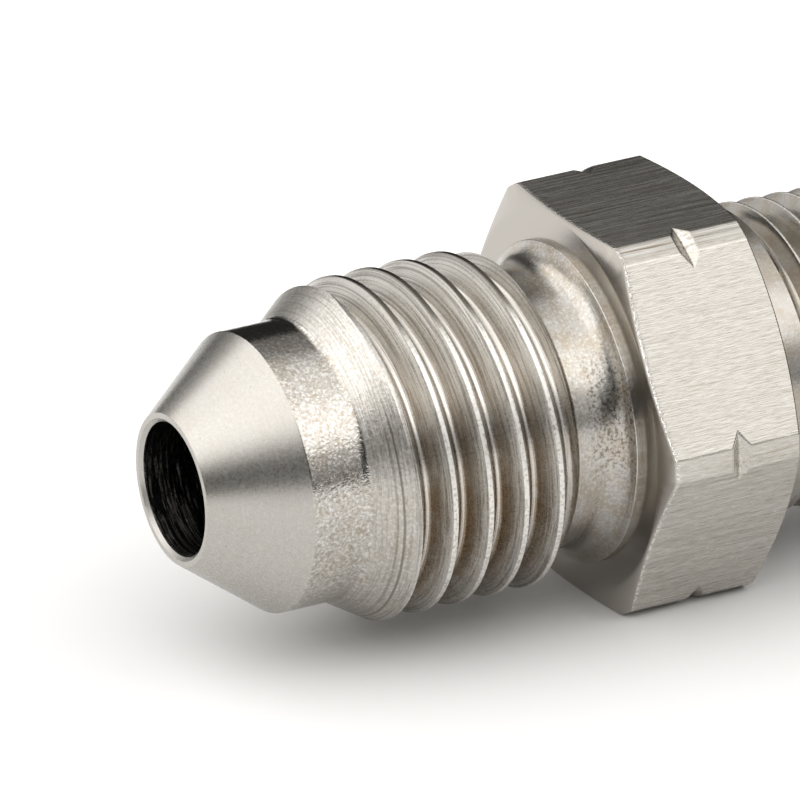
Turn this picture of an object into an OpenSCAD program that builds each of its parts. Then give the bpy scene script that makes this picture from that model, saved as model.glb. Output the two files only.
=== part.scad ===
// Flare to pipe thread adapter, turned from hexagon bar.
// Millimetres. The fitting lies along X with its flare nose towards -X,
// resting on one hexagon flat at z = 0. The nose and the tail end are
// equally far from x = 0.

/* [Overall] */
// Length from nose face to tail face
overall_length = 30.2; // [28:0.1:36]
// Diameter of the through bore
bore_diameter = 4.4; // [3:0.1:5]
// Chamfer at the nose end of the bore
nose_bore_chamfer = 0.12; // [0.05:0.01:0.3]
// Chamfer at the tail end of the bore
tail_bore_chamfer = 0.4; // [0.1:0.05:0.8]

/* [Flare nose] */
// Outer diameter of the flat ring at the nose face
nose_face_diameter = 5.0; // [4.8:0.05:6]
// Half angle of the sealing cone in degrees
cone_half_angle = 37; // [30:1:45]
// Diameter of the plain cylinder behind the cone
nose_diameter = 9.15; // [8.5:0.05:9.4]
// Distance from nose face to the foot of the thread lead
nose_length = 4.65; // [4:0.05:5.5]
// Fillet where the plain cylinder meets the thread lead
lead_foot_fillet = 0.35; // [0.1:0.05:0.8]
// Angle of the thread lead to the axis in degrees
lead_angle = 38; // [30:1:60]

/* [Flare thread] */
// Major diameter of the flare thread
flare_major_diameter = 11.08; // [10.9:0.01:11.2]
// Pitch of the flare thread
flare_pitch = 1.27; // [1:0.01:1.5]
// Axial place of a crest, on the -Y side of the fitting
flare_crest_place = 7.25; // [6.5:0.01:8]
// Distance from nose face to the end of the full thread
flare_thread_end = 11.6; // [11:0.05:12.2]

/* [Neck] */
// Diameter of the relief between thread and hexagon
neck_diameter = 9.2; // [8.8:0.05:9.4]
// Angle of the relief flank to the axis in degrees
relief_angle = 60; // [45:1:75]
// Diameter of the low collar on the hexagon face
collar_diameter = 10.6; // [10:0.05:11.5]
// Height of the collar above the hexagon face
collar_height = 0.18; // [0.05:0.01:0.4]
// Round on the collar rim
collar_round = 0.07; // [0.02:0.01:0.15]

/* [Hexagon] */
// Width across the flats
across_flats = 12.7; // [12:0.05:14.3]
// Turned diameter that trims the corners
corner_diameter = 14.25; // [14:0.05:14.6]
// Distance from nose face to the front face
hex_front = 14.08; // [13.5:0.01:15]
// Length of the hexagon along the axis
hex_length = 5.02; // [4:0.01:7]
// Diameter where both end chamfers begin
chamfer_diameter = 12.5; // [12:0.05:12.7]
// Slope of the front chamfer in degrees
front_chamfer_angle = 13; // [8:1:30]
// Slope of the back chamfer in degrees
back_chamfer_angle = 20; // [8:1:30]
// Distance from nose face to the bottom of the corner notches
notch_place = 16.7; // [16:0.01:17.5]
// Diameter at the bottom of the corner notches
notch_diameter = 13.8; // [13.4:0.05:14.1]
// Width of the notch groove at the corner diameter
notch_width = 0.66; // [0.3:0.01:1]

/* [Pipe thread] */
// Crest diameter of the tapered thread at its large end
pipe_large_diameter = 10.16; // [10:0.01:10.3]
// Length of the plain shank behind the hexagon
shank_length = 1.5; // [1:0.05:2.5]
// Fillet between shank and hexagon
shank_fillet = 0.25; // [0.1:0.05:0.5]
// Loss of diameter per millimetre along the tapered thread
pipe_taper = 0.0625; // [0.05:0.0005:0.07]
// Pitch of the pipe thread
pipe_pitch = 0.9407; // [0.9:0.0001:1]
// Axial place of the first groove, on the -Y side
pipe_groove_place = 20.97; // [20.6:0.01:21.4]
// Distance from nose face to the place where the pipe grooves fade out
pipe_fade_place = 20.45; // [20.2:0.01:20.9]
// Length over which the pipe grooves sink to full depth
pipe_fade_length = 0.55; // [0.3:0.01:1]
// Chamfer at the tail end
tail_chamfer = 0.75; // [0.4:0.05:1]

/* [View] */
// Piece to draw

/* [Hidden] */
STEEL = [0.72, 0.71, 0.69];
eps = 0.01;
curve_sides = 144;

// Both threads have 60 degree flanks. Shares of the pitch P:
// crest flat, root flat and the depth that follows from them.
half_flank = 30;
flare_crest_share = 1 / 8;
flare_root_share = 1 / 6;
flare_steps = 40;
pipe_crest_share = 1 / 16;
pipe_root_share = 1 / 16;
pipe_steps = 32;
// The flare groove rises out of the lead behind the first crest: the turns
// over which it does so, and the turns from there to its place on the -Y side
flare_run_in = 0.42;
flare_lead_turns = 1.92;
// Turns of the pipe groove ahead of its place, hidden where it fades out
pipe_lead_turns = 1.1;

bore_r = bore_diameter / 2;
nose_face_r = nose_face_diameter / 2;
nose_r = nose_diameter / 2;
flare_r = flare_major_diameter / 2;
neck_r = neck_diameter / 2;
collar_r = collar_diameter / 2;
corner_r = corner_diameter / 2;
chamfer_r = chamfer_diameter / 2;
notch_r = notch_diameter / 2;
pipe_r = pipe_large_diameter / 2;
flat_r = across_flats / 2;

cone_length = (nose_r - nose_face_r) / tan(cone_half_angle);
lead_length = (flare_r - nose_r) / tan(lead_angle);
relief_length = (flare_r - neck_r) / tan(relief_angle);
hex_back = hex_front + hex_length;
collar_front = hex_front - collar_height;
// The neck's fillet runs out where the round on the collar rim begins
neck_fillet = collar_r - collar_round - neck_r;
shank_end = hex_back + shank_length;
tail_r = pipe_r - (overall_length - shank_end) * pipe_taper / 2;

// Depth of a 60 degree groove from the shares of pitch left flat
function groove_depth(pitch, crest_share, root_share) =
    pitch * (1 - crest_share - root_share) / (2 * tan(half_flank));

// Crest radius of the tapered thread at an axial place
function pipe_crest_r(x) = pipe_r - max(0, x - shank_end) * pipe_taper / 2;

// Places a turned shape, drawn as [radius, axial], along X
module turned() {
    rotate([0, 90, 0])
        rotate_extrude($fn = curve_sides)
            children();
}

// Fillet in the inner corner at [r, x], between a cylinder and a wall that
// stands behind it (side 1) or ahead of it (side -1)
module corner_fillet(r, x, size, side) {
    difference() {
        translate([r - eps, side > 0 ? x - size : x])
            square([size + eps, size]);
        translate([r + size, x - side * size])
            circle(r = size, $fn = curve_sides);
    }
}

// Solid outline from the nose to the hexagon face
module front_outline() {
    polygon([
        [0, 0],
        [nose_face_r, 0],
        [nose_r, cone_length],
        [nose_r, nose_length],
        [flare_r, nose_length + lead_length],
        [flare_r, flare_thread_end],
        [neck_r, flare_thread_end + relief_length],
        [neck_r, hex_front + eps],
        [0, hex_front + eps]
    ]);
    lead_foot();
    collar_outline();
    corner_fillet(neck_r, collar_front, neck_fillet, 1);
}

// Fillet tangent to the nose cylinder and to the thread lead
module lead_foot() {
    tangent_run = lead_foot_fillet * tan(lead_angle / 2);
    difference() {
        polygon([
            [nose_r - eps, nose_length - tangent_run],
            [nose_r, nose_length - tangent_run],
            [nose_r + tangent_run * sin(lead_angle), nose_length + tangent_run * cos(lead_angle)],
            [nose_r - eps, nose_length + tangent_run * cos(lead_angle)]
        ]);
        translate([nose_r + lead_foot_fillet, nose_length - tangent_run])
            circle(r = lead_foot_fillet, $fn = curve_sides);
    }
}

// Low collar with a rounded rim on the hexagon face
module collar_outline() {
    translate([0, collar_front])
        square([collar_r - collar_round, collar_height + eps]);
    translate([0, collar_front + collar_round])
        square([collar_r, collar_height - collar_round + eps]);
    translate([collar_r - collar_round, collar_front + collar_round])
        circle(r = collar_round, $fn = curve_sides);
}

// Solid outline from the hexagon to the tail
module back_outline() {
    polygon([
        [0, hex_back - eps],
        [pipe_r, hex_back - eps],
        [pipe_r, shank_end],
        [tail_r + tail_chamfer * pipe_taper / 2, overall_length - tail_chamfer],
        [tail_r - tail_chamfer, overall_length],
        [0, overall_length]
    ]);
    corner_fillet(pipe_r, hex_back, shank_fillet, -1);
}

// Turned envelope that trims the hexagon's corners and both of its ends
module hex_envelope() {
    front_drop = (corner_r - chamfer_r) * tan(front_chamfer_angle);
    back_drop = (corner_r - chamfer_r) * tan(back_chamfer_angle);
    polygon([
        [0, hex_front],
        [chamfer_r, hex_front],
        [corner_r, hex_front + front_drop],
        [corner_r, notch_place - notch_width / 2],
        [notch_r, notch_place],
        [corner_r, notch_place + notch_width / 2],
        [corner_r, hex_back - back_drop],
        [chamfer_r, hex_back],
        [0, hex_back]
    ]);
}

// Hexagon with two flats level, chamfered ends and notched corners
module hexagon() {
    intersection() {
        turned()
            hex_envelope();
        rotate([0, 90, 0])
            rotate([0, 0, 30])
                cylinder(r = flat_r / cos(30), h = overall_length, $fn = 6);
    }
}

// Bore cutter with a small chamfer at each end
module bore() {
    turned()
        polygon([
            [0, -eps],
            [bore_r + nose_bore_chamfer + eps, -eps],
            [bore_r, nose_bore_chamfer],
            [bore_r, overall_length - tail_bore_chamfer],
            [bore_r + tail_bore_chamfer + eps, overall_length + eps],
            [0, overall_length + eps]
        ]);
}

// One cross-section of the thread cutter, as [axial, radial] offsets
// from the crest surface: open side, flanks and a slightly rounded root
function cutter_section(pitch, crest_share, root_share) =
    let (
        depth = groove_depth(pitch, crest_share, root_share),
        clear = pitch * crest_share,
        root = pitch * root_share / 2,
        mouth = root + (depth + clear) * tan(half_flank)
    )
    [[-mouth, clear], [-root, -depth], [0, -depth - root * 0.4], [root, -depth], [mouth, clear]];

// Point of the right-hand helix: x along the axis, r out from it, and
// angle in degrees from the -Y side, growing towards -Z
function helix_point(x, r, angle) = [x, -r * cos(angle), -r * sin(angle)];

// Right-hand helical cutter. place is the groove's axial position on the -Y
// side, first and last are turns from there, run_in turns rise out of the
// surface at the first end. r0 and slope give the crest radius at place
// and its change along the axis.
module helical_cutter(pitch, place, first, last, run_in, section, r0, slope, steps) {
    count = ceil((last - first) * steps);
    wide = len(section);
    depth = section[0][1] - section[1][1];
    points = [
        for (i = [0:count])
            let (
                turn = first + i / steps,
                lift = run_in > 0 ? depth * max(0, 1 - (turn - first) / run_in) : 0
            )
            for (p = section)
                let (x = place + turn * pitch + p[0])
                helix_point(x, r0 + slope * (x - place) + p[1] + lift, turn * 360)
    ];
    sides = [
        for (i = [0:count - 1])
            for (j = [0:wide - 1])
                let (
                    a = i * wide + j,
                    b = i * wide + (j + 1) % wide
                )
                each [[a, a + wide, b], [b, a + wide, b + wide]]
    ];
    near_end = [for (j = [1:wide - 2]) [0, j, j + 1]];
    far_end = [for (j = [1:wide - 2]) [count * wide, count * wide + j + 1, count * wide + j]];
    polyhedron(points = points, faces = concat(near_end, far_end, sides), convexity = 12);
}

// Cutter for the straight thread, from its lead to inside the relief
module flare_thread_cutter() {
    groove_place = flare_crest_place + flare_pitch / 2;
    last = (flare_thread_end + relief_length + flare_pitch / 2 - groove_place) / flare_pitch;
    helical_cutter(
        flare_pitch, groove_place, -flare_lead_turns, last, flare_run_in,
        cutter_section(flare_pitch, flare_crest_share, flare_root_share),
        flare_r, 0, flare_steps
    );
}

// Cutter for the tapered thread, from behind the shank's fillet and out
// through the tail face
module pipe_thread_cutter() {
    last = (overall_length + pipe_pitch - pipe_groove_place) / pipe_pitch;
    helical_cutter(
        pipe_pitch, pipe_groove_place, -pipe_lead_turns, last, 0,
        cutter_section(pipe_pitch, pipe_crest_share, pipe_root_share),
        pipe_crest_r(pipe_groove_place), -pipe_taper / 2, pipe_steps
    );
}

// Core that closes the pipe grooves on the shank and lets them sink in on a
// cone behind it
module pipe_fade_core() {
    depth = groove_depth(pipe_pitch, pipe_crest_share, pipe_root_share);
    core_r = pipe_crest_r(pipe_fade_place) - eps;
    core_start = hex_back + shank_fillet;
    core_end = pipe_fade_place + pipe_fade_length;
    polygon([
        [0, core_start],
        [core_r, core_start],
        [core_r, pipe_fade_place],
        [core_r - depth, core_end],
        [0, core_end]
    ]);
}

// The whole fitting in one piece
module adapter_body() {
    color(STEEL)
        translate([-overall_length / 2, 0, flat_r])
            difference() {
                union() {
                    difference() {
                        turned()
                            front_outline();
                        flare_thread_cutter();
                    }
                    hexagon();
                    difference() {
                        turned()
                            back_outline();
                        pipe_thread_cutter();
                    }
                    turned()
                        pipe_fade_core();
                }
                bore();
            }
}

adapter_body();
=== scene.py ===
"""Looks of the flare adapter: one turned steel fitting, rebuilt finely inside its CAD form.

Shapes are worked out in millimetres with the nose face at x = 0 and the axis on x,
then placed in the CAD frame in metres. Angles round the axis start on the -Y side
and grow towards +Z.
"""

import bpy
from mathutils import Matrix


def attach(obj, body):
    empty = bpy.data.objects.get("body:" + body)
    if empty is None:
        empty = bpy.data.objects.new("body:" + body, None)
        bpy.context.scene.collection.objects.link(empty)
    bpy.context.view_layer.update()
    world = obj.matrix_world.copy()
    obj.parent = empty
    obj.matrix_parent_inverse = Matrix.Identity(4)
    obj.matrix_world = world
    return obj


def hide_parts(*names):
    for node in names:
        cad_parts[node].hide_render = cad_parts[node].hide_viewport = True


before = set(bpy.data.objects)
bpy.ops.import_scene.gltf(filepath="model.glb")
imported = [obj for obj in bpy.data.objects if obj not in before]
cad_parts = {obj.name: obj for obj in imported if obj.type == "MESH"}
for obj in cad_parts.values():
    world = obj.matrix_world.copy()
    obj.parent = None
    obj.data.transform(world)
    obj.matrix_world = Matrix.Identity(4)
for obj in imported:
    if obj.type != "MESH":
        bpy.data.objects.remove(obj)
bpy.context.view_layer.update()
import math

import bmesh
import bpy
from mathutils import Matrix, Vector

# Sizes, in millimetres
OVERALL_LENGTH = 30.2
BORE_R = 2.2
NOSE_FACE_R = 2.5
NOSE_R = 4.575
NOSE_LENGTH = 4.65
CONE_ANGLE = math.radians(37)
FLARE_R = 5.54
FLARE_PITCH = 1.27
FLARE_DEPTH = 0.778
FIRST_GROOVE_PLACE = 6.615
FLARE_THREAD_END = 11.6
RELIEF_ANGLE = math.radians(60)
NECK_R = 4.6
NECK_FILLET = 0.9
NECK_FILLET_REACH = 0.31
COLLAR_R = 5.3
COLLAR_HEIGHT = 0.18
ACROSS_FLATS = 12.7
CORNER_R = 7.12
HEX_FRONT = 14.08
HEX_BACK = 19.1
CHAMFER_R = 6.25
FRONT_CHAMFER_ANGLE = math.radians(13)
BACK_CHAMFER_ANGLE = math.radians(20)
NOTCH_PLACE = 16.7
NOTCH_R = 6.9
NOTCH_HALF_WIDTH = 0.33
SHANK_END = 20.6
PIPE_R = 5.08
PIPE_PITCH = 0.9407
PIPE_DEPTH = 0.713
PIPE_SLOPE = 0.03125
PIPE_GROOVE_PLACE = 20.97
PIPE_FADE_PLACE = 20.45
PIPE_FADE_LENGTH = 0.55
TAIL_CHAMFER = 0.75

# Extra radius on the blanks, which the thread dies cut away
STOCK = 0.08
TURN_STEPS = 192
ARC_STEPS = 5

# Where the thread lead reaches the crest radius: (degrees round the axis, x)
LEAD_REACH = ((-100, 6.25), (75, 5.64), (108, 5.86), (260, 6.25))


def rounded(corners):
    """Outline through (x, r, round) corners, each with its own round."""
    points = []
    for i, (x, r, size) in enumerate(corners):
        here = Vector((x, r))
        if not size or i in (0, len(corners) - 1):
            points.append(here)
            continue
        before = (Vector(corners[i - 1][:2]) - here).normalized()
        after = (Vector(corners[i + 1][:2]) - here).normalized()
        half = before.angle(after) / 2
        centre = here + (before + after).normalized() * size / math.sin(half)
        start = here + before * size / math.tan(half) - centre
        sweep = math.pi - 2 * half
        if start.cross(here - centre) < 0:
            sweep = -sweep
        for k in range(ARC_STEPS + 1):
            spot = start.copy()
            spot.rotate(Matrix.Rotation(sweep * k / ARC_STEPS, 2))
            points.append(centre + spot)
    return points


def mesh_object(name, bm):
    mesh = bpy.data.meshes.new(name)
    bm.to_mesh(mesh)
    bm.free()
    piece = bpy.data.objects.new(name, mesh)
    bpy.context.scene.collection.objects.link(piece)
    return piece


def add_line(bm, points):
    verts = [bm.verts.new((x, -r, 0)) for x, r in points]
    edges = [bm.edges.new(pair) for pair in zip(verts, verts[1:])]
    return verts + edges


def round_axis(co):
    """Radius and angle in degrees of a point."""
    return math.hypot(co.y, co.z), math.degrees(math.atan2(co.z, -co.y))


def set_radius(co, r):
    scale = r / math.hypot(co.y, co.z)
    co.y *= scale
    co.z *= scale


def turned(name, points, reshape=None):
    """Solid of revolution about x from an outline of (x, r) points that starts and ends on the axis."""
    bm = bmesh.new()
    bmesh.ops.spin(
        bm, geom=add_line(bm, points), cent=(0, 0, 0), axis=(1, 0, 0),
        angle=2 * math.pi, steps=TURN_STEPS, use_merge=True, use_duplicate=False)
    bmesh.ops.remove_doubles(bm, verts=bm.verts, dist=1e-5)
    if reshape:
        for v in bm.verts:
            reshape(v.co)
    bmesh.ops.recalc_face_normals(bm, faces=bm.faces)
    return mesh_object(name, bm)


def apply_modifiers(piece):
    piece.data = bpy.data.meshes.new_from_object(piece.evaluated_get(bpy.context.evaluated_depsgraph_get()))
    piece.modifiers.clear()


def cut(piece, tool, operation="DIFFERENCE"):
    """Boolean of piece and tool, kept in piece; the tool is thrown away."""
    step = piece.modifiers.new("cut", "BOOLEAN")
    step.operation = operation
    step.solver = "MANIFOLD"
    step.object = tool
    apply_modifiers(piece)
    bpy.data.objects.remove(tool)
    return piece


def thread_profile(pitch, crest_r, depth, crest_flat, root_round, crest_round, flank_steps=1):
    """One pitch of a 60 degree thread, from root middle to root middle."""
    half = pitch / 2
    crest = crest_flat / 2
    flank = depth * math.tan(math.radians(30))
    root_x = half - crest - flank
    steps = [k / flank_steps for k in range(flank_steps + 1)]
    rise = [(root_x + flank * k, crest_r - depth + depth * k) for k in steps]
    left = [(x, r, 0) for x, r in rise]
    left[0] = (*rise[0], root_round)
    left[-1] = (*rise[-1], crest_round)
    right = [(pitch - x, r, size) for x, r, size in reversed(left)]
    return rounded([(0, crest_r - depth, 0)] + left + right + [(pitch, crest_r - depth, 0)])


def thread_die(name, profile, pitch, groove_place, first_x, last_x, outer_r, steps, reshape):
    """Ring whose hole is the threaded surface: cutting with it leaves the thread."""
    lead_turns = math.ceil((groove_place - first_x) / pitch) + 1
    turns = lead_turns + math.ceil((last_x - groove_place) / pitch) + 1
    bm = bmesh.new()
    line = add_line(bm, [(x + groove_place - lead_turns * pitch, r) for x, r in profile])
    bmesh.ops.spin(
        bm, geom=line, cent=(0, 0, 0), axis=(1, 0, 0), dvec=(pitch / steps, 0, 0),
        angle=2 * math.pi, steps=steps, use_merge=False, use_duplicate=False)
    one_turn = bm.verts[:] + bm.edges[:] + bm.faces[:]
    for turn in range(1, turns):
        copied = bmesh.ops.duplicate(bm, geom=one_turn)["geom"]
        verts = [g for g in copied if isinstance(g, bmesh.types.BMVert)]
        bmesh.ops.translate(bm, verts=verts, vec=(turn * pitch, 0, 0))
    bmesh.ops.remove_doubles(bm, verts=bm.verts, dist=1e-4)
    for place, side in ((first_x, -1), (last_x, 1)):
        bmesh.ops.bisect_plane(
            bm, geom=bm.verts[:] + bm.edges[:] + bm.faces[:], dist=1e-6,
            plane_co=(place, 0, 0), plane_no=(side, 0, 0), clear_outer=True)
    for v in bm.verts:
        reshape(v.co)
    middle = (first_x + last_x) / 2
    rims = []
    for side in (-1, 1):
        open_edges = [e for e in bm.edges if e.is_boundary and e not in rims]
        rim = [e for e in open_edges if (e.verts[0].co.x - middle) * side > 0]
        made = bmesh.ops.extrude_edge_only(bm, edges=rim)["geom"]
        for v in (g for g in made if isinstance(g, bmesh.types.BMVert)):
            set_radius(v.co, outer_r)
        rims += [g for g in made if isinstance(g, bmesh.types.BMEdge) and g.is_boundary]
    bmesh.ops.bridge_loops(bm, edges=rims)
    bmesh.ops.recalc_face_normals(bm, faces=bm.faces)
    return mesh_object(name, bm)


def lead_reach(angle):
    """Where the lead meets the crest radius: it follows the first crest round, then falls back."""
    if angle < LEAD_REACH[0][0]:
        angle += 360
    for (a0, x0), (a1, x1) in zip(LEAD_REACH, LEAD_REACH[1:]):
        if angle <= a1:
            return x0 + (x1 - x0) * (angle - a0) / (a1 - a0)
    return LEAD_REACH[-1][1]


def lead_r(x, angle):
    """Radius of the lead's surface."""
    return NOSE_R + (x - NOSE_LENGTH) * (FLARE_R - NOSE_R) / (lead_reach(angle) - NOSE_LENGTH)


def shape_lead(co):
    """Moves the lead's rim on the front blank to where the lead reaches it."""
    r, angle = round_axis(co)
    if r > FLARE_R and co.x < FIRST_GROOVE_PLACE:
        co.x = NOSE_LENGTH + (r - NOSE_R) * (lead_reach(angle) - NOSE_LENGTH) / (FLARE_R - NOSE_R)


def start_flare_thread(co):
    """Lets the groove ahead of the first crest rise until it only marks the lead."""
    r, angle = round_axis(co)
    turn = round((co.x - FIRST_GROOVE_PLACE) / FLARE_PITCH + angle / 360) - angle / 360
    if turn > -0.5:
        return
    risen = r + min(1, (-0.5 - turn) / 0.25) * (FLARE_R - r)
    if r < FLARE_R - 0.6 and turn > -1.35:
        trace = lead_r(co.x, angle) - 0.03
        if trace < risen:
            risen = trace
            co.x -= 0.15
    set_radius(co, risen)


def fade_pipe_thread(co):
    """Tapers the pipe thread and lets its grooves fade out on a cone next to the shank."""
    r, _ = round_axis(co)
    crest = PIPE_R - max(0, co.x - SHANK_END) * PIPE_SLOPE - 0.002
    fade = crest - max(0, co.x - PIPE_FADE_PLACE) * PIPE_DEPTH / PIPE_FADE_LENGTH
    tapered = r - PIPE_R + crest
    fading = co.x < PIPE_FADE_PLACE + PIPE_FADE_LENGTH
    set_radius(co, max(tapered, fade) if fading else tapered)


def front_blank():
    """Nose, thread zone, relieved neck and collar."""
    stock_r = FLARE_R + STOCK
    cone = (NOSE_R - NOSE_FACE_R) / math.tan(CONE_ANGLE)
    relief_start = FLARE_THREAD_END - STOCK / math.tan(RELIEF_ANGLE)
    relief_end = FLARE_THREAD_END + (FLARE_R - NECK_R) / math.tan(RELIEF_ANGLE)
    return turned("fitting", rounded([
        (0, 0, 0), (0, NOSE_FACE_R, 0.05), (cone, NOSE_R, 0.05), (NOSE_LENGTH, NOSE_R, 0.3),
        (NOSE_LENGTH + 1.2, stock_r, 0), (relief_start, stock_r, 0), (relief_end, NECK_R, 0.12),
        (HEX_FRONT - COLLAR_HEIGHT - NECK_FILLET_REACH, NECK_R, NECK_FILLET),
        (HEX_FRONT - COLLAR_HEIGHT, COLLAR_R - 0.02, 0.04),
        (HEX_FRONT + 0.6, COLLAR_R, 0), (HEX_FRONT + 0.6, 0, 0)]), shape_lead)


def back_blank():
    """Shank and tapered tail."""
    tail_r = PIPE_R - (OVERALL_LENGTH - SHANK_END) * PIPE_SLOPE
    return turned("back", rounded([
        (HEX_BACK - 0.6, 0, 0), (HEX_BACK - 0.6, PIPE_R + 0.25, 0), (HEX_BACK, PIPE_R + 0.25, 0),
        (HEX_BACK + 0.001, PIPE_R, 0.22), (HEX_BACK + 0.6, PIPE_R, 0), (HEX_BACK + 0.65, PIPE_R + STOCK, 0),
        (SHANK_END, PIPE_R + STOCK, 0), (OVERALL_LENGTH - TAIL_CHAMFER - STOCK, tail_r + STOCK, 0),
        (OVERALL_LENGTH, tail_r - TAIL_CHAMFER, 0.05), (OVERALL_LENGTH, 0, 0)]))


def hexagon():
    """Six flats, conical end chamfers, trimmed corners and the notch groove across them."""
    front_drop = (CORNER_R - CHAMFER_R) * math.tan(FRONT_CHAMFER_ANGLE)
    back_drop = (CORNER_R - CHAMFER_R) * math.tan(BACK_CHAMFER_ANGLE)
    envelope = turned("envelope", [
        (HEX_FRONT, 0), (HEX_FRONT, CHAMFER_R), (HEX_FRONT + front_drop, CORNER_R),
        (NOTCH_PLACE - NOTCH_HALF_WIDTH, CORNER_R), (NOTCH_PLACE, NOTCH_R),
        (NOTCH_PLACE + NOTCH_HALF_WIDTH, CORNER_R), (HEX_BACK - back_drop, CORNER_R),
        (HEX_BACK, CHAMFER_R), (HEX_BACK, 0)])
    bm = bmesh.new()
    bar_r = ACROSS_FLATS / math.sqrt(3)
    bmesh.ops.create_cone(
        bm, cap_ends=True, segments=6, radius1=bar_r, radius2=bar_r, depth=HEX_BACK - HEX_FRONT + 4)
    bmesh.ops.rotate(bm, verts=bm.verts, matrix=Matrix.Rotation(math.pi / 2, 3, "Y"))
    bmesh.ops.translate(bm, verts=bm.verts, vec=((HEX_FRONT + HEX_BACK) / 2, 0, 0))
    if max(v.co.z for v in bm.verts) > ACROSS_FLATS / 2 + 0.1:
        bmesh.ops.rotate(bm, verts=bm.verts, matrix=Matrix.Rotation(math.pi / 6, 3, "X"))
    bmesh.ops.recalc_face_normals(bm, faces=bm.faces)
    piece = cut(mesh_object("hexagon", bm), envelope, "INTERSECT")
    bm = bmesh.new()
    bm.from_mesh(piece.data)
    bmesh.ops.dissolve_limit(bm, angle_limit=math.radians(0.5), verts=bm.verts, edges=bm.edges)
    sharp = [e for e in bm.edges if e.calc_face_angle(0) > math.radians(9)]
    bmesh.ops.bevel(
        bm, geom=sharp, offset=0.035, offset_type="OFFSET", affect="EDGES", segments=2, profile=0.5,
        material=-1, clamp_overlap=True)
    bmesh.ops.triangulate(bm, faces=bm.faces)
    bm.to_mesh(piece.data)
    bm.free()
    return piece


def fitting():
    body = front_blank()
    flare_profile = thread_profile(
        FLARE_PITCH, FLARE_R, FLARE_DEPTH, crest_flat=FLARE_PITCH / 8, root_round=0.16, crest_round=0.03)
    cut(body, thread_die(
        "flare_die", flare_profile, FLARE_PITCH, FIRST_GROOVE_PLACE,
        first_x=4.3, last_x=12.7, outer_r=7.5, steps=144, reshape=start_flare_thread))
    cut(body, hexagon(), "UNION")
    pipe_profile = thread_profile(
        PIPE_PITCH, PIPE_R, PIPE_DEPTH, crest_flat=PIPE_PITCH / 16, root_round=0.05, crest_round=0.02,
        flank_steps=4)
    back = cut(back_blank(), thread_die(
        "pipe_die", pipe_profile, PIPE_PITCH, PIPE_GROOVE_PLACE,
        first_x=HEX_BACK + 0.55, last_x=OVERALL_LENGTH + 0.5, outer_r=8.5, steps=120,
        reshape=fade_pipe_thread))
    cut(body, back, "UNION")
    bore = turned("bore", [
        (-0.2, 0), (-0.2, BORE_R + 0.32), (0.12, BORE_R), (OVERALL_LENGTH - 0.4, BORE_R),
        (OVERALL_LENGTH + 0.1, BORE_R + 0.5), (OVERALL_LENGTH + 0.1, 0)])
    return cut(body, bore)


# Finish: node helpers

def add_node(tree, kind, inputs=None, **settings):
    """A shader node with its settings, and its inputs set to values or joined to sockets."""
    node = tree.nodes.new(kind)
    for name, value in settings.items():
        setattr(node, name, value)
    for name, value in (inputs or {}).items():
        if isinstance(value, bpy.types.NodeSocket):
            tree.links.new(value, node.inputs[name])
        else:
            node.inputs[name].default_value = value
    return node


def calc(tree, operation, a, b=0.0, c=0.0):
    return add_node(tree, "ShaderNodeMath", {0: a, 1: b, 2: c}, operation=operation).outputs[0]


def ramp(tree, value, low, high, out_low=0.0, out_high=1.0):
    """Smooth step of value from out_low at low to out_high at high."""
    return add_node(
        tree, "ShaderNodeMapRange",
        {"Value": value, "From Min": low, "From Max": high, "To Min": out_low, "To Max": out_high},
        interpolation_type="SMOOTHSTEP").outputs[0]


def vector(tree, x, y, z):
    return add_node(tree, "ShaderNodeCombineXYZ", {"X": x, "Y": y, "Z": z}).outputs[0]


def noise(tree, at, scale, detail=2.0, roughness=0.5):
    return add_node(
        tree, "ShaderNodeTexNoise",
        {"Vector": at, "Scale": scale, "Detail": detail, "Roughness": roughness}).outputs["Fac"]


def tint(tree, colour, other, amount):
    """Mix of two colours."""
    node = add_node(tree, "ShaderNodeMix", data_type="RGBA")
    for socket, value in ((node.inputs["Factor"], amount), (node.inputs[6], colour), (node.inputs[7], other)):
        if isinstance(value, bpy.types.NodeSocket):
            tree.links.new(value, socket)
        else:
            socket.default_value = value
    return node.outputs[2]


def bump(tree, height, height_mm, normal=None):
    inputs = {"Strength": 1.0, "Distance": height_mm * 0.001, "Height": height}
    if normal:
        inputs["Normal"] = normal
    return add_node(tree, "ShaderNodeBump", inputs).outputs["Normal"]


def new_group(name, outputs):
    """Node group with named outputs: (tree, function that joins a socket to an output)."""
    tree = bpy.data.node_groups.new(name, "ShaderNodeTree")
    for label, kind in outputs:
        tree.interface.new_socket(label, in_out="OUTPUT", socket_type=kind)
    out = tree.nodes.new("NodeGroupOutput")
    return tree, lambda label, socket: tree.links.new(socket, out.inputs[label])


def use_group(tree, group):
    node = tree.nodes.new("ShaderNodeGroup")
    node.node_tree = group
    return node.outputs


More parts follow.
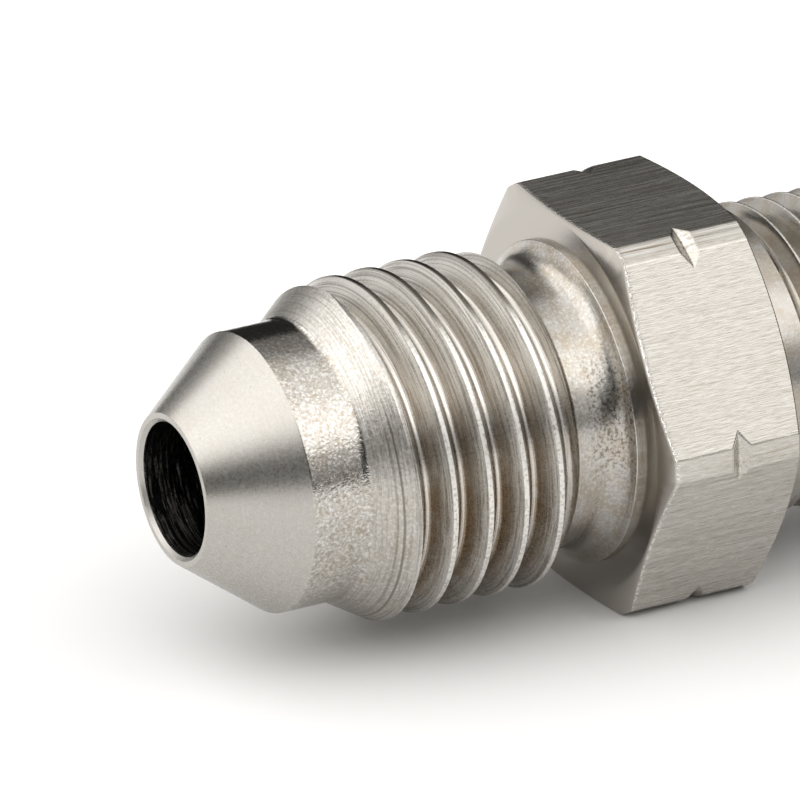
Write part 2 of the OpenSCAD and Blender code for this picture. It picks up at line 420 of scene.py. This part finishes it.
def place_group():
    """Millimetres along the axis and out from it, turns round it, and how high a point lies on its circle."""
    tree, output = new_group("place", (
        ("Along", "NodeSocketFloat"), ("Out", "NodeSocketFloat"), ("Turn", "NodeSocketFloat"),
        ("Rise", "NodeSocketFloat"), ("Point", "NodeSocketVector")))
    spot = add_node(tree, "ShaderNodeTexCoord").outputs["Object"]
    spot = add_node(tree, "ShaderNodeVectorMath", {0: spot, "Scale": 1000.0}, operation="SCALE").outputs[0]
    parts = add_node(tree, "ShaderNodeSeparateXYZ", {0: spot}).outputs
    along = calc(tree, "ADD", parts["X"], OVERALL_LENGTH / 2)
    up = calc(tree, "SUBTRACT", parts["Z"], ACROSS_FLATS / 2)
    out_sq = calc(tree, "MULTIPLY_ADD", parts["Y"], parts["Y"], calc(tree, "MULTIPLY", up, up))
    out = calc(tree, "SQRT", out_sq)
    output("Along", along)
    output("Out", out)
    angle = calc(tree, "ARCTAN2", up, calc(tree, "MULTIPLY", parts["Y"], -1.0))
    output("Turn", calc(tree, "DIVIDE", angle, 2 * math.pi))
    output("Rise", calc(tree, "DIVIDE", up, out))
    output("Point", vector(tree, along, parts["Y"], up))
    return tree


# Where the turned finish changes along the axis
CONE_END = 2.75
LEAD_START = 4.75
CREST_START = 5.9
NECK_START = 11.9
LINES_END = 12.0
FILLET_START = 12.7
FILLET_END = 13.9
SHANK_START = 19.0
PIPE_START = 20.3


def by_place(tree, along, first, *steps):
    """Value that changes along the axis: first, then each (x, value) from that x on."""
    value, before = first, first
    for x, after in steps:
        value = calc(tree, "MULTIPLY_ADD", ramp(tree, along, x - 0.04, x + 0.04), after - before, value)
        before = after
    return value


def turning_group(place):
    """Marks of the lathe: fine lines that follow the threads, and grain, specks and clouds."""
    tree, output = new_group("turning", (
        ("Lines", "NodeSocketFloat"), ("Grain", "NodeSocketFloat"), ("Specks", "NodeSocketFloat"),
        ("Cloud", "NodeSocketFloat")))
    at = use_group(tree, place)
    lead = by_place(
        tree, at["Along"], 0.0, (CREST_START, FLARE_PITCH), (LINES_END, 0.0), (PIPE_START, PIPE_PITCH))
    wound = calc(tree, "MULTIPLY_ADD", at["Turn"], lead, at["Along"])
    across = vector(tree, wound, at["Out"], calc(tree, "MULTIPLY", at["Rise"], 0.2))
    output("Lines", noise(tree, across, 12.0, 3.0, 0.7))
    output("Grain", noise(tree, at["Point"], 9.0, 2.0, 0.7))
    output("Specks", ramp(tree, noise(tree, at["Point"], 8.0, 1.0, 0.6), 0.72, 0.78))
    output("Cloud", noise(tree, at["Point"], 1.3, 3.0, 0.6))
    return tree


def brushing_group(place):
    """Drawn streaks along the flats, fine and coarse, scratches, their strength by which way a flat faces,
    and burrs along the front edge with a painted glint.
    """
    tree, output = new_group("brushing", (
        ("Streaks", "NodeSocketFloat"), ("Coarse", "NodeSocketFloat"), ("Scratches", "NodeSocketFloat"),
        ("Marks_by_facing", "NodeSocketFloat"), ("Burrs_and_glints", "NodeSocketFloat")))
    at = use_group(tree, place)

    def stretched(length, width, turn=0.0):
        return add_node(tree, "ShaderNodeMapping", {
            "Vector": at["Point"], "Rotation": (0.0, turn, turn),
            "Scale": (1 / length, 1 / width, 1 / width)}).outputs[0]

    output("Streaks", noise(tree, stretched(0.42, 0.04), 1.0, 2.0, 0.6))
    output("Coarse", noise(tree, stretched(4.0, 0.12), 1.0, 3.0, 0.6))
    output("Scratches", ramp(tree, noise(tree, stretched(2.6, 0.09, 0.08), 1.0, 0.0), 0.74, 0.80))
    # Strength of the streaks and scratches, set by which way the flat faces: most on the top flat, half on
    # the flats at and below the middle, least on the upper side flats.
    lower = ramp(tree, at["Rise"], 0.0, 0.02, 0.5, 0.2)
    output("Marks_by_facing", calc(tree, "ADD", lower, ramp(tree, at["Rise"], 0.84, 0.86, 0.0, 0.8)))
    slope = math.tan(FRONT_CHAMFER_ANGLE)
    edge = calc(tree, "MULTIPLY_ADD", at["Out"], slope, HEX_FRONT - CHAMFER_R * slope)
    near_edge = ramp(tree, calc(tree, "SUBTRACT", at["Along"], edge), 0.22, 0.04)
    patches = ramp(tree, noise(tree, at["Point"], 8.0, 2.0, 0.7), 0.44, 0.54)
    output("Burrs_and_glints", calc(tree, "MULTIPLY", near_edge, patches))
    return tree


STEEL = (0.445, 0.428, 0.400, 1.0)
CUT_STEEL_AND_HIGHLIGHT = (0.64, 0.618, 0.58, 1.0)
WORN_STEEL = (0.40, 0.36, 0.305, 1.0)
DRAWN_STEEL = (0.36, 0.335, 0.295, 1.0)
HIGHLIGHT_AND_BRIGHT_STEEL = (0.85, 0.83, 0.79, 1.0)
FACE_STEEL = (0.43, 0.403, 0.368, 1.0)
STAIN = (0.27, 0.21, 0.15, 1.0)
SHADE = (0.14, 0.122, 0.10, 1.0)
BORE_SHADE = (0.03, 0.03, 0.03, 1.0)


def new_material(name):
    mat = bpy.data.materials.new(name)
    mat.use_nodes = True
    shader = mat.node_tree.nodes["Principled BSDF"]
    shader.inputs["Metallic"].default_value = 1.0
    return mat, mat.node_tree, shader


def trace_lines(tree, at):
    """Two fine dark lines that the thread tool left on the lower half of the lead."""
    lines = 0.0
    for r, strength in ((5.14, 0.35), (5.27, 0.7)):
        from_line = calc(tree, "ABSOLUTE", calc(tree, "SUBTRACT", at["Out"], r))
        lines = calc(tree, "MAXIMUM", lines, ramp(tree, from_line, 0.035, 0.01, 0.0, strength))
    on_lead = calc(tree, "MULTIPLY", ramp(tree, at["Along"], 5.05, 5.15), ramp(tree, at["Along"], 6.0, 5.9))
    return calc(tree, "MULTIPLY", calc(tree, "MULTIPLY", lines, on_lead), ramp(tree, at["Rise"], 0.75, 0.4))


def worn_colour(tree, at, marks, in_threads):
    """Steel with its wear, a painted highlight on the upper side of the lead and threads, tool lines, stains
    and specks, and an even darkening from the back of the hexagon on.
    """
    along = at["Along"]
    in_root = calc(tree, "MULTIPLY", ramp(tree, at["Out"], FLARE_R - 0.12, FLARE_R - 0.65), in_threads)
    high = ramp(tree, at["Rise"], -0.35, 0.75)
    stained = calc(
        tree, "MULTIPLY", calc(tree, "MULTIPLY", in_root, ramp(tree, marks["Cloud"], 0.3, 0.6, 0.5, 1.0)),
        calc(tree, "MULTIPLY_ADD", high, -0.75, 1.0))
    speckled = by_place(
        tree, along, 0.14, (CONE_END, 0.8), (LEAD_START, 0.45), (CREST_START, 0.15), (NECK_START, 0.4),
        (SHANK_START, 0.15))
    worn = calc(
        tree, "MULTIPLY", ramp(tree, marks["Cloud"], 0.4, 0.65),
        by_place(tree, along, 0.15, (CONE_END, 0.6), (LEAD_START, 0.5), (NECK_START, 1.0)))
    bright = calc(tree, "MULTIPLY", ramp(tree, marks["Grain"], 0.53, 0.62), speckled)
    dull = calc(tree, "MULTIPLY", ramp(tree, marks["Grain"], 0.47, 0.36), speckled)
    # Painted highlight: the upper side of the lead and threads is lightened towards the cut steel colour,
    # more the higher it lies.
    painted_top_highlight = calc(tree, "MULTIPLY", high, by_place(
        tree, along, 0.0, (LEAD_START, 0.7), (CREST_START, 0.8), (LINES_END, 0.0)))
    colour = tint(tree, tint(tree, STEEL, WORN_STEEL, worn), CUT_STEEL_AND_HIGHLIGHT, painted_top_highlight)
    lines_and_dark_shank = calc(tree, "MULTIPLY", ramp(tree, marks["Lines"], 0.53, 0.42), by_place(
        tree, along, 0.03, (LEAD_START, 0.3), (CREST_START, 0.55), (LINES_END, 0.12)))
    # From the back of the hexagon to the tail the shade colour is also laid evenly at 0.2, so shank and pipe
    # thread are darker all round.
    lines_and_dark_shank = calc(tree, "MAXIMUM", lines_and_dark_shank, by_place(tree, along, 0.0, (SHANK_START, 0.2)))
    colour = tint(tree, colour, SHADE, lines_and_dark_shank)
    colour = tint(tree, colour, STAIN, calc(tree, "MAXIMUM", stained, calc(tree, "MULTIPLY", dull, 0.7)))
    colour = tint(tree, colour, HIGHLIGHT_AND_BRIGHT_STEEL, calc(tree, "MULTIPLY", bright, 0.55))
    return tint(tree, colour, STAIN, calc(tree, "MULTIPLY", marks["Specks"], 0.5))


def neck_soot(tree, at, marks):
    """Dark specks on the side of the neck's fillet."""
    on_fillet = by_place(tree, at["Along"], 0.0, (FILLET_START, 0.8), (FILLET_END, 0.0))
    sooty = calc(tree, "MULTIPLY", ramp(tree, marks["Grain"], 0.46, 0.38), on_fillet)
    sooty = calc(tree, "MULTIPLY", sooty, ramp(tree, at["Rise"], -0.35, 0.1))
    return calc(tree, "MULTIPLY", sooty, ramp(tree, at["Rise"], 0.75, 0.45))


def flare_crests(tree, at, in_threads):
    """Flare thread's crests: (painted highlight round the sides, painted shade on top)."""
    crest = calc(tree, "MULTIPLY", ramp(tree, at["Out"], FLARE_R - 0.03, FLARE_R - 0.008), in_threads)
    dark = calc(tree, "MULTIPLY", crest, ramp(tree, at["Rise"], 0.78, 0.93, 0.0, 0.85))
    bright = calc(tree, "MULTIPLY", crest, ramp(tree, at["Rise"], -0.95, -0.5, 0.3, 0.85))
    return calc(tree, "MULTIPLY", bright, ramp(tree, at["Rise"], 0.93, 0.78)), dark


def pipe_crests(tree, at):
    """Pipe thread's crests, on a radius that falls along the axis: the mask of their painted highlight."""
    level_out = calc(tree, "MULTIPLY_ADD", at["Along"], PIPE_SLOPE, at["Out"])
    level_r = PIPE_R + SHANK_END * PIPE_SLOPE
    return calc(
        tree, "MULTIPLY", ramp(tree, level_out, level_r - 0.05, level_r - 0.02),
        ramp(tree, at["Along"], 20.7, 20.9))


def turned_bumps(tree, at, marks):
    """Tool lines and grain as heights."""
    along = at["Along"]
    line_height = by_place(
        tree, along, 0.06, (CONE_END, 0.15), (LEAD_START, 0.9), (CREST_START, 0.9), (LINES_END, 0.25))
    grain_by_place = by_place(
        tree, along, 0.07, (CONE_END, 0.9), (LEAD_START, 0.5), (CREST_START, 0.15), (NECK_START, 0.35))
    grain_height = calc(tree, "MULTIPLY", grain_by_place, ramp(tree, at["Rise"], 0.95, 0.7, 0.3, 1.0))
    lines = bump(tree, calc(tree, "MULTIPLY", marks["Lines"], line_height), 0.014)
    return bump(tree, calc(tree, "MULTIPLY", marks["Grain"], grain_height), 0.014, lines)


def turned_steel(place, turning):
    """Lathe finish: satin on the cone, speckled on cylinders, lined and stained in the threads, with painted
    highlights on crests and roots and painted shade on top of the flare crests.
    """
    mat, tree, shader = new_material("turned_steel")
    at, marks = use_group(tree, place), use_group(tree, turning)
    along = at["Along"]
    in_threads = calc(tree, "MULTIPLY", ramp(tree, along, 5.9, 6.3), ramp(tree, along, 11.8, 11.5))
    colour = worn_colour(tree, at, marks, in_threads)
    colour = tint(tree, colour, SHADE, neck_soot(tree, at, marks))
    # Painted highlight round the sides of the flare and pipe crests, broken up by the grain.
    crest, dark_crest = flare_crests(tree, at, in_threads)
    crest = calc(tree, "MAXIMUM", crest, calc(tree, "MULTIPLY", pipe_crests(tree, at), 0.6))
    crest = calc(tree, "MULTIPLY", crest, ramp(tree, marks["Grain"], 0.32, 0.56, 0.3, 1.0))
    # Painted highlight along the flare thread's roots, at half strength.
    root = calc(tree, "MULTIPLY", ramp(tree, at["Out"], FLARE_R - 0.768, FLARE_R - 0.7765), in_threads)
    # Painted shade on top of the flare crests; the trace lines are real tool marks.
    colour = tint(tree, colour, SHADE, calc(tree, "MAXIMUM", dark_crest, trace_lines(tree, at)))
    colour = tint(tree, colour, HIGHLIGHT_AND_BRIGHT_STEEL, calc(tree, "MAXIMUM", crest, calc(tree, "MULTIPLY", root, 0.5)))
    tree.links.new(colour, shader.inputs["Base Color"])
    rough = by_place(
        tree, along, 0.22, (CONE_END, 0.08), (LEAD_START, 0.26), (CREST_START, 0.22), (NECK_START, 0.17))
    rough = calc(tree, "MULTIPLY_ADD", crest, 0.22, rough)
    tree.links.new(calc(tree, "MULTIPLY_ADD", marks["Grain"], 0.12, rough), shader.inputs["Roughness"])
    tree.links.new(turned_bumps(tree, at, marks), shader.inputs["Normal"])
    return mat


def flat_steel(brushing):
    """Drawn bar finish on the wrench flats and the trimmed corners."""
    mat, tree, shader = new_material("flat_steel")
    marks = use_group(tree, brushing)
    contrast = calc(tree, "MULTIPLY_ADD", marks["Marks_by_facing"], 0.95, 0.55)
    mixed = calc(
        tree, "MULTIPLY_ADD", calc(tree, "SUBTRACT", marks["Coarse"], marks["Streaks"]),
        calc(tree, "MULTIPLY", marks["Marks_by_facing"], 0.8), marks["Streaks"])
    grade = calc(
        tree, "MULTIPLY_ADD", calc(tree, "SUBTRACT", mixed, 0.5), calc(tree, "MULTIPLY", contrast, 3.0), 0.45)
    grade = calc(tree, "MINIMUM", calc(tree, "MAXIMUM", grade, 0.0), 1.0)
    colour = tint(tree, DRAWN_STEEL, CUT_STEEL_AND_HIGHLIGHT, grade)
    scratched = calc(tree, "MULTIPLY", marks["Scratches"], calc(tree, "MULTIPLY", marks["Marks_by_facing"], 0.9))
    colour = tint(tree, colour, STAIN, scratched)
    # Burrs along the front edge: real burrs in the bump, with a painted glint in their light colour.
    tree.links.new(tint(tree, colour, HIGHLIGHT_AND_BRIGHT_STEEL, marks["Burrs_and_glints"]), shader.inputs["Base Color"])
    tree.links.new(calc(tree, "MULTIPLY_ADD", marks["Streaks"], 0.24, 0.14), shader.inputs["Roughness"])
    fine = bump(tree, calc(tree, "MULTIPLY_ADD", scratched, -0.8, marks["Streaks"]), 0.0036)
    coarse = bump(tree, calc(tree, "MULTIPLY", marks["Coarse"], marks["Marks_by_facing"]), 0.014, fine)
    tree.links.new(bump(tree, marks["Burrs_and_glints"], 0.012, coarse), shader.inputs["Normal"])
    return mat


def face_steel(turning):
    """Turned end faces, chamfers and notch of the hexagon."""
    mat, tree, shader = new_material("face_steel")
    marks = use_group(tree, turning)
    shader.inputs["Base Color"].default_value = FACE_STEEL
    tree.links.new(calc(tree, "MULTIPLY_ADD", marks["Grain"], 0.08, 0.19), shader.inputs["Roughness"])
    tree.links.new(bump(tree, marks["Lines"], 0.002), shader.inputs["Normal"])
    return mat


def bore_steel(place, turning):
    """Inside of the bore: painted shade, with a few drill marks painted bright, most towards the bottom."""
    mat, tree, shader = new_material("bore_steel")
    at, marks = use_group(tree, place), use_group(tree, turning)
    inside = calc(tree, "MINIMUM", at["Along"], calc(tree, "SUBTRACT", OVERALL_LENGTH, at["Along"]))
    # Painted shade deep in the bore, with a painted highlight on the drill marks that grows towards the
    # bottom.
    lower = ramp(tree, at["Rise"], 0.4, -0.3, 0.2, 1.0)
    dark = tint(tree, BORE_SHADE, CUT_STEEL_AND_HIGHLIGHT, calc(tree, "MULTIPLY", ramp(tree, marks["Lines"], 0.50, 0.64), lower))
    tree.links.new(tint(tree, STEEL, dark, ramp(tree, inside, 0.12, 0.2)), shader.inputs["Base Color"])
    tree.links.new(calc(tree, "MULTIPLY_ADD", marks["Grain"], 0.2, 0.2), shader.inputs["Roughness"])
    tree.links.new(bump(tree, marks["Lines"], 0.02), shader.inputs["Normal"])
    return mat


# Material indices of the fitting
TURNED, FLAT, FACE, BORE = range(4)


def finish_of(face):
    """Index of a face's material, from its place and its normal."""
    centre = face.center
    out, _ = round_axis(centre)
    if out < BORE_R + 0.14:
        return BORE
    if abs(centre.x - HEX_FRONT) < 0.01 and abs(face.normal.x) > 0.9:
        return FACE
    on_hexagon = HEX_FRONT - 0.02 < centre.x < HEX_BACK + 0.02 and out > COLLAR_R - 0.05
    in_notch = abs(centre.x - NOTCH_PLACE) < NOTCH_HALF_WIDTH
    if on_hexagon and out > ACROSS_FLATS / 2 - 0.05 and (abs(face.normal.x) < 0.1 or in_notch):
        return FLAT
    return FACE if on_hexagon else TURNED


def place_fitting(piece, materials):
    """Gives the faces their finish and moves the mesh into the CAD frame."""
    piece.data.materials.clear()
    for mat in materials:
        piece.data.materials.append(mat)
    for face in piece.data.polygons:
        face.material_index = finish_of(face)
    to_frame = Matrix.Scale(0.001, 4) @ Matrix.Translation((-OVERALL_LENGTH / 2, 0, ACROSS_FLATS / 2))
    piece.data.transform(to_frame)
    piece.data.shade_smooth()
    piece.data.set_sharp_from_angle(angle=math.radians(26))
    for face in piece.data.polygons:
        face.use_smooth = abs(face.normal.x) < 0.9999 and face.material_index != FLAT
    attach(piece, "root")
    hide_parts("adapter_body")


# Studio

# Black cards: (name, left, right, height)
CARDS = (("tall_card", -0.031, -0.006, 0.048), ("low_card", -0.006, 0.065, 0.034))
CARD_DISTANCE = 0.056

WORLD_LEVEL = 0.09
CANOPY_LEVEL = 2.0
CANOPY_SIDE = (-0.866, -0.5, 0.0)

# Soft lobes of the studio's light: (direction, full within degrees, gone at degrees, strength)
LOBES = (
    ((0.42, -0.84, 0.36), 6, 22, 0.60),
    ((-0.70, -0.10, 0.70), 10, 32, 0.15),
    ((-0.25, 0.86, 0.42), 8, 24, 0.30),
    ((0.42, -0.62, 0.66), 10, 28, 0.25),
    ((-0.93, 0.32, 0.16), 12, 34, 1.30),
    ((-0.55, 0.82, 0.06), 10, 26, 0.90),
    ((0.42, 0.80, 0.44), 6, 24, 0.14),
    ((0.42, 0.16, 0.89), 8, 20, 0.50),
    ((0.10, 0.10, 0.99), 5, 35, -0.60))


def studio_world():
    """Bright canopy above a dim horizon, dark on the far right side, with a few soft lobes."""
    world = bpy.data.worlds.new("studio")
    world.use_nodes = True
    tree = world.node_tree
    tree.nodes.clear()
    toward = add_node(tree, "ShaderNodeTexCoord").outputs["Generated"]

    def facing(direction):
        return add_node(
            tree, "ShaderNodeVectorMath", {0: toward, 1: Vector(direction).normalized()},
            operation="DOT_PRODUCT").outputs["Value"]

    overhead = ramp(tree, facing((0, 0, 1)), 0.36, 0.66)
    canopy = calc(tree, "MULTIPLY", overhead, ramp(tree, facing(CANOPY_SIDE), -0.75, -0.15))
    level = calc(tree, "MULTIPLY_ADD", canopy, CANOPY_LEVEL, WORLD_LEVEL)
    for direction, full, gone, strength in LOBES:
        cos_gone, cos_full = math.cos(math.radians(gone)), math.cos(math.radians(full))
        level = calc(tree, "ADD", level, ramp(tree, facing(direction), cos_gone, cos_full, 0.0, strength))
    light = add_node(tree, "ShaderNodeBackground", {"Color": (1.0, 0.99, 0.975, 1.0), "Strength": level})
    out = add_node(tree, "ShaderNodeOutputWorld")
    tree.links.new(light.outputs[0], out.inputs["Surface"])
    bpy.context.scene.world = world


def plane(name, matrix, size):
    bm = bmesh.new()
    bmesh.ops.create_grid(bm, x_segments=1, y_segments=1, size=0.5)
    bmesh.ops.scale(bm, verts=bm.verts, vec=(size[0], size[1], 1))
    bmesh.ops.transform(bm, verts=bm.verts, matrix=matrix)
    piece = mesh_object(name, bm)
    return piece


def floor_material():
    """Matt paper that glows faintly to the camera away from the fitting."""
    mat, tree, shader = new_material("floor_paper")
    shader.inputs["Metallic"].default_value = 0.0
    shader.inputs["Specular IOR Level"].default_value = 0.0
    shader.inputs["Base Color"].default_value = (0.84, 0.84, 0.84, 1.0)
    shader.inputs["Roughness"].default_value = 1.0
    path = add_node(tree, "ShaderNodeLightPath").outputs
    seen = calc(tree, "MAXIMUM", path["Is Camera Ray"], path["Is Glossy Ray"])
    seen = calc(tree, "MAXIMUM", seen, path["Is Transmission Ray"])
    shader.inputs["Emission Color"].default_value = (1.0, 1.0, 1.0, 1.0)
    spot = add_node(tree, "ShaderNodeTexCoord").outputs["Object"]
    spot = add_node(
        tree, "ShaderNodeVectorMath", {0: spot, 1: (0.55, 1.0, 1.0)}, operation="MULTIPLY").outputs[0]
    away = add_node(tree, "ShaderNodeVectorMath", {0: spot}, operation="LENGTH").outputs["Value"]
    glow = calc(tree, "MULTIPLY", seen, ramp(tree, away, 0.009, 0.026, 0.0, 0.16))
    tree.links.new(glow, shader.inputs["Emission Strength"])
    return mat


def studio_floor():
    floor = plane("floor", Matrix.Identity(4), (4.0, 4.0))
    floor.data.materials.append(floor_material())


def dark_cards(turn):
    """Black cards out of the picture, which give the metal its dark upper edges."""
    mat, _, shader = new_material("black_card")
    shader.inputs["Metallic"].default_value = 0.0
    shader.inputs["Base Color"].default_value = (0.012, 0.012, 0.012, 1.0)
    shader.inputs["Roughness"].default_value = 1.0
    for name, left, right, height in CARDS:
        middle = Matrix.Translation(((left + right) / 2, CARD_DISTANCE, height / 2))
        matrix = Matrix.Rotation(-turn, 4, "Z") @ middle @ Matrix.Rotation(math.pi / 2, 4, "X")
        card = plane(name, matrix, (right - left, height))
        card.data.materials.append(mat)
        card.visible_camera = False
        card.visible_diffuse = False
        card.visible_shadow = False


CAMERA_TURN = 0.4753
CAMERA_TILT = 0.4013
CAMERA_ROLL = -0.0266
CAMERA_DISTANCE = 0.51823
CAMERA_OFFSET = (0.0072258, 0.0028529)
CAMERA_LENS = 737.1


def studio_camera():
    """Camera at the photograph's angle; the offsets run right and up in the picture."""
    level = math.cos(CAMERA_TILT)
    away = Vector((math.sin(CAMERA_TURN) * level, math.cos(CAMERA_TURN) * level, -math.sin(CAMERA_TILT)))
    level_right = Vector((math.cos(CAMERA_TURN), -math.sin(CAMERA_TURN), 0))
    level_up = level_right.cross(away)
    right = math.cos(CAMERA_ROLL) * level_right + math.sin(CAMERA_ROLL) * level_up
    up = right.cross(away)
    spot = Vector((-OVERALL_LENGTH / 2000, 0, ACROSS_FLATS / 2000))
    spot += -CAMERA_DISTANCE * away + CAMERA_OFFSET[0] * right + CAMERA_OFFSET[1] * up
    lens = bpy.data.cameras.new("camera")
    lens.lens = CAMERA_LENS
    lens.sensor_width = 36
    lens.clip_start = 0.01
    lens.clip_end = 10
    camera = bpy.data.objects.new("camera", lens)
    camera.matrix_world = Matrix.Translation(spot) @ Matrix((right, up, -away)).transposed().to_4x4()
    bpy.context.scene.collection.objects.link(camera)
    bpy.context.scene.camera = camera


place = place_group()
turning = turning_group(place)
brushing = brushing_group(place)
place_fitting(fitting(), (
    turned_steel(place, turning), flat_steel(brushing), face_steel(turning), bore_steel(place, turning)))
studio_world()
studio_floor()
dark_cards(CAMERA_TURN)
studio_camera()
bpy.context.scene.view_settings.view_transform = "Standard"
